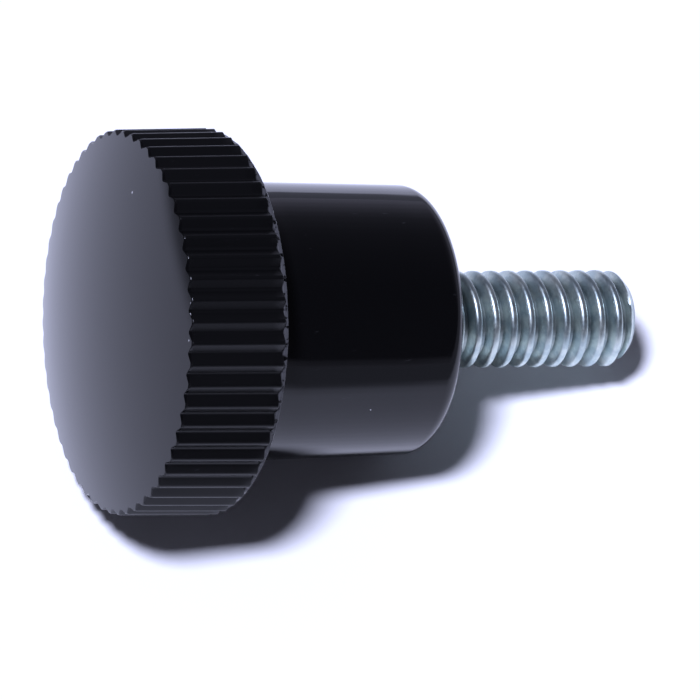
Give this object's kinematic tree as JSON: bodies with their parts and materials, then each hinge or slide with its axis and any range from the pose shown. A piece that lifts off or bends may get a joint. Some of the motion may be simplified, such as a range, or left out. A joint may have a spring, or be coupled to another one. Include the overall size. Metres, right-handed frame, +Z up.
{
  "type": "knurled knob",
  "caption": "Round clamping knob: black moulded head with a straight-knurled rim and a boss, on a threaded steel stud.",
  "frame": {"origin": "centre of the knob's footprint box on the surface that it lies on", "axes": "+Z up, +X along the knob's axis as seen from above, from the head towards the stud's tip, +Y to the left of that"},
  "size_m": [0.0386, 0.025, 0.0256],
  "materials": {
    "moulding": "glossy black thermoset moulding",
    "plated_steel": "bright zinc plate with a blue tint"
  },
  "bodies": {
    "root": {"knob_head": "moulding", "threaded_stud": "plated_steel"}
  },
  "joints": []
}
